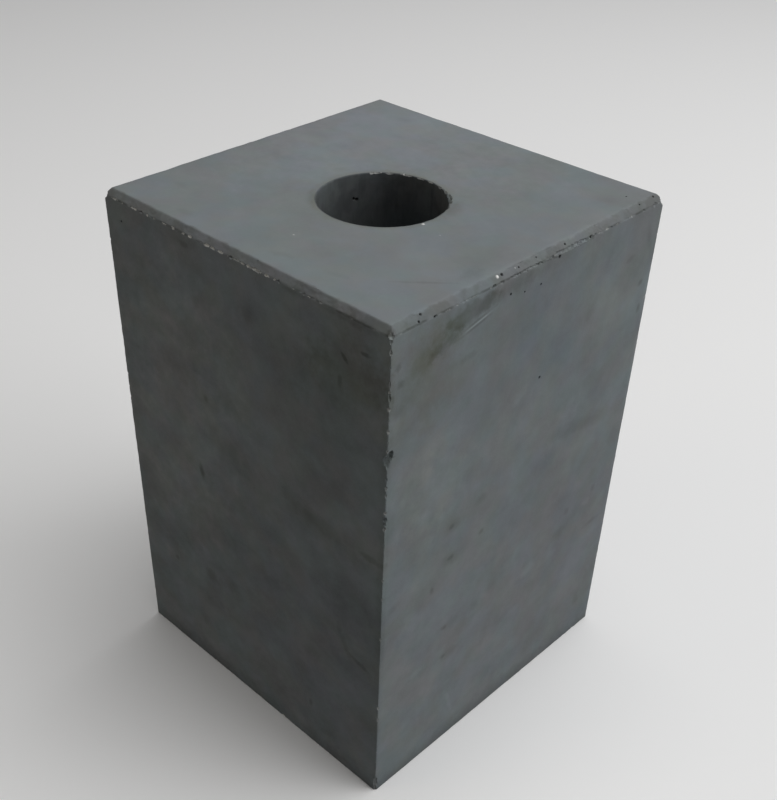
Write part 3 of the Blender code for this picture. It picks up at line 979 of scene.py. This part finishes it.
def cast_concrete(sizes):
    """Dry cement grey: clouds, stains, darker foot, painted shade in pits, hole, chamfers, rim; pale
    breaks.
    """
    material = bpy.data.materials.new("cast_concrete")
    material.use_nodes = True
    tree = material.node_tree
    shader = tree.nodes["Principled BSDF"]
    shader.inputs["Roughness"].default_value = sizes.roughness
    place = node(tree, "TexCoord").outputs["Object"]
    axes = node(tree, "SeparateXYZ", {0: place})

    cement = placed_group(tree, cement_group(), {"Place": place})
    x, y, z = (axes.outputs[name] for name in "XYZ")
    from_left = maths(tree, "ADD", y, sizes.depth / 2)
    from_right = maths(tree, "SUBTRACT", sizes.width / 2, x)
    from_top = maths(tree, "SUBTRACT", sizes.height, z)
    calm = ramp(tree, from_top, SMUDGE_DEPTH, 2 * SMUDGE_DEPTH, TOP_SHADE, 1.0)
    lively = ramp(tree, from_left, SMUDGE_DEPTH, 2 * SMUDGE_DEPTH, LEFT_SHADE, 1.0)
    strength = times(tree, calm, lively)
    shade = maths(tree, "MULTIPLY_ADD", cement.outputs["Shade"], strength, 1.0)
    shades = [times(tree, shade, channel) for channel in sizes.cement]
    colour = node(tree, "CombineColor", dict(enumerate(shades))).outputs["Color"]
    for name, _, _, more, less in HUES:
        share = ramp(tree, cement.outputs[name], -HUE_LIMIT, HUE_LIMIT)
        colour = tint(tree, colour, share, more)
        colour = tint(tree, colour, maths(tree, "SUBTRACT", 1.0, share), less)

    # The smudges of each face that the photograph shows
    wander = cloud(tree, place, *WANDER)
    ragged = times(tree, wander, SMUDGE_RAGGEDNESS)
    faces = (
        (LEFT_SMUDGES, x, z, from_left),
        (RIGHT_STAINS_AND_PAINTED_LIGHT, y, z, from_right),
        (TOP_SMUDGES, x, y, from_top),
    )
    group = smudge_group()
    for smudges, across, up, below in faces:
        kept = smudged_face(tree, group, smudges, across, up, ragged)
        on_it = ramp(tree, below, SMUDGE_DEPTH, 2 * SMUDGE_DEPTH, 1.0, 0.0)
        inputs = {0: on_it, 6: colour, 7: kept}
        colour = node(tree, "Mix", inputs, data_type="RGBA", blend_type="MULTIPLY").outputs[2]

    # Darker towards the foot, up to a ragged upper edge
    foot = maths(tree, "MULTIPLY_ADD", wander, FOOT_WANDER, z)
    colour = tint(tree, colour, ramp(tree, foot, 0.0, FOOT_HEIGHT, 1.0, 0.0), FOOT_TINT)

    # Inside the hole: painted shade darkens the wall, with the streaks of its form
    spoke = node(tree, "VectorMath", {0: place, 1: on_axis(0.0)}, operation="SUBTRACT").outputs[0]
    spoke = node(tree, "VectorMath", {0: spoke, 1: (1.0, 1.0, 0.0)}, operation="MULTIPLY").outputs[0]
    from_axis = node(tree, "VectorMath", {0: spoke}, operation="LENGTH").outputs["Value"]
    radius = sizes.hole_diameter / 2
    wall = ramp(tree, from_axis, radius + WALL_EDGE[0], radius + WALL_EDGE[1], 1.0, 0.0)
    colour = tint(tree, colour, wall, WALL_SHADE_TINT)
    for kind, by in ((STREAKS, STREAK_TINT), (DAMP, DAMP_TINT)):
        share = times(tree, wall, patches(tree, place, *kind))
        colour = tint(tree, colour, share, by)
    # painted shade round the hole's worn, rounded rim, held on down its wall
    rim_shade = maths(tree, "MULTIPLY_ADD", wander, HALO_WANDER, from_axis)
    rim_shade = ramp(tree, rim_shade, radius, radius + HALO_REACH, 1.0, 0.0)
    colour = tint(tree, colour, rim_shade, HALO_SHADE_TINT)

    # Painted shade on the chamfers, and a thin dark line along their foot round the block
    from_foot = maths(tree, "SUBTRACT", from_top, sizes.chamfer_down)
    above = ramp(tree, from_foot, -CHAMFER_FADE, CHAMFER_FADE, 1.0, 0.0)
    blotch = times(tree, above, patches(tree, place, *BLOTCHES))
    for from_side, by in zip((from_left, from_right), CHAMFER_SHADE_TINTS):
        near_side = maths(tree, "MULTIPLY_ADD", wander, CHAMFER_WANDER, from_side)
        near_side = ramp(tree, near_side, *CHAMFER_EDGE, 1.0, 0.0)
        colour = tint(tree, colour, times(tree, near_side, above), by)
        colour = tint(tree, colour, times(tree, near_side, blotch), BLOTCH_TINT)
    from_sag = maths(tree, "ABSOLUTE", maths(tree, "SUBTRACT", y, SAG_PLACE))
    sag = ramp(tree, from_sag, *SAG_SPREAD, SAG_DEPTH, 0.0)
    sag = times(tree, sag, ramp(tree, from_right, 0.0, SAG_REACH, 1.0, 0.0))
    from_foot = maths(tree, "SUBTRACT", from_foot, sag)
    line = ramp(tree, maths(tree, "ABSOLUTE", from_foot), *LINE_WIDTH, 1.0, 0.0)
    line = times(tree, line, patches(tree, place, *LINE_GAPS))
    line = times(tree, line, maths(tree, "SUBTRACT", 1.0, wall))
    colour = tint(tree, colour, line, LINE_TINT)

    # Breaks, pits with painted shade, and grit
    speckle = patches(tree, place, *SPECKLES)
    broken, grit, pit = (
        node(tree, "Attribute", attribute_name=name).outputs["Fac"] for name in ("broken", "grit", "pit")
    )
    # darker chips; in two hollows of the front corner this is painted shade
    colour = tint(tree, colour, times(tree, broken, -1.0), DARK_CHIP_TINT)
    colour = cover(tree, colour, times(tree, broken, speckle), FRESH_COLOUR)
    colour = cover(tree, colour, grit, GRIT_COLOUR)
    # painted shade in the pits
    colour = cover(tree, colour, pit, PIT_SHADE_COLOUR)
    tree.links.new(colour, shader.inputs["Base Color"])

    height = placed_group(tree, grain_group(), {"Place": place})
    inputs = {"Height": height.outputs["Height"], "Strength": BUMP_STRENGTH, "Distance": BUMP_DISTANCE}
    bump = node(tree, "Bump", inputs)
    tree.links.new(bump.outputs["Normal"], shader.inputs["Normal"])
    return material


def add_light(name, place, size, power, colour=(1.0, 1.0, 1.0)):
    """A square soft light at place, turned to the block."""
    light = bpy.data.lights.new(name, "AREA")
    light.shape = "SQUARE"
    light.size = size
    light.energy = power
    light.color = colour
    lamp = add_object(name, light)
    lamp.location = place
    lamp.rotation_euler = (Vector(LIGHT_AIM) - Vector(place)).to_track_quat("-Z", "Y").to_euler()


def add_camera():
    camera = add_object("photo_camera", bpy.data.cameras.new("photo_camera"))
    camera.data.lens = CAMERA_LENS
    camera.data.shift_x, camera.data.shift_y = CAMERA_SHIFT
    camera.data.clip_start = 0.01
    turn = Matrix.Rotation(CAMERA_AZIMUTH, 4, "Z") @ Matrix.Rotation(pi / 2 - CAMERA_DIP, 4, "X")
    turn = turn @ Matrix.Rotation(CAMERA_ROLL, 4, "Z")
    camera.matrix_world = Matrix.Translation(CAMERA_PLACE) @ turn
    bpy.context.scene.camera = camera


class BLOCK_OT_studio(bpy.types.Operator):
    """Makes the pale floor, the soft lights and the camera."""

    bl_idname = "base_block.studio"
    bl_label = "Set up the studio"
    bl_options = {"REGISTER", "UNDO"}

    def execute(self, context):
        studio = context.scene.base_block_studio
        bm = bmesh.new()
        bmesh.ops.create_grid(bm, x_segments=2, y_segments=2, size=FLOOR_SIZE)
        mesh = bpy.data.meshes.new("floor")
        bm.to_mesh(mesh)
        bm.free()
        floor = add_object("floor", mesh)
        paint = bpy.data.materials.new("floor_paint")
        paint.use_nodes = True
        shader = paint.node_tree.nodes["Principled BSDF"]
        shader.inputs["Base Color"].default_value = (*studio.floor_colour, 1.0)
        shader.inputs["Roughness"].default_value = 0.9
        mesh.materials.append(paint)
        floor.visible_diffuse = False
        add_light("key", *KEY_LIGHT, studio.key_power)
        add_light("top", *TOP_LIGHT, studio.top_power)
        add_light("fill", *FILL_LIGHT, studio.fill_power, studio.fill_colour)
        world = bpy.data.worlds.new("studio_air")
        world.use_nodes = True
        background = world.node_tree.nodes["Background"]
        background.inputs["Color"].default_value = (1.0, 1.0, 1.0, 1.0)
        background.inputs["Strength"].default_value = studio.sky
        context.scene.world = world
        context.scene.view_settings.view_transform = "Standard"
        add_camera()
        return {"FINISHED"}


class BLOCK_PT_panel(bpy.types.Panel):
    """Lists the block's sizes and the two steps."""

    bl_label = "Base block"
    bl_idname = "BLOCK_PT_panel"
    bl_space_type = "VIEW_3D"
    bl_region_type = "UI"
    bl_category = "Base block"

    def draw(self, context):
        for settings in (context.scene.base_block, context.scene.base_block_studio):
            column = self.layout.column()
            for name in settings.__annotations__:
                column.prop(settings, name)
        self.layout.operator(BLOCK_OT_cast.bl_idname)
        self.layout.operator(BLOCK_OT_studio.bl_idname)


CLASSES = (BlockSettings, StudioSettings, BLOCK_OT_cast, BLOCK_OT_studio, BLOCK_PT_panel)


def register():
    for made in CLASSES:
        bpy.utils.register_class(made)
    bpy.types.Scene.base_block = PointerProperty(type=BlockSettings)
    bpy.types.Scene.base_block_studio = PointerProperty(type=StudioSettings)


def unregister():
    del bpy.types.Scene.base_block
    del bpy.types.Scene.base_block_studio
    for made in reversed(CLASSES):
        bpy.utils.unregister_class(made)


def main():
    register()
    bpy.ops.base_block.cast()
    bpy.ops.base_block.studio()


if __name__ == "__main__":
    main()
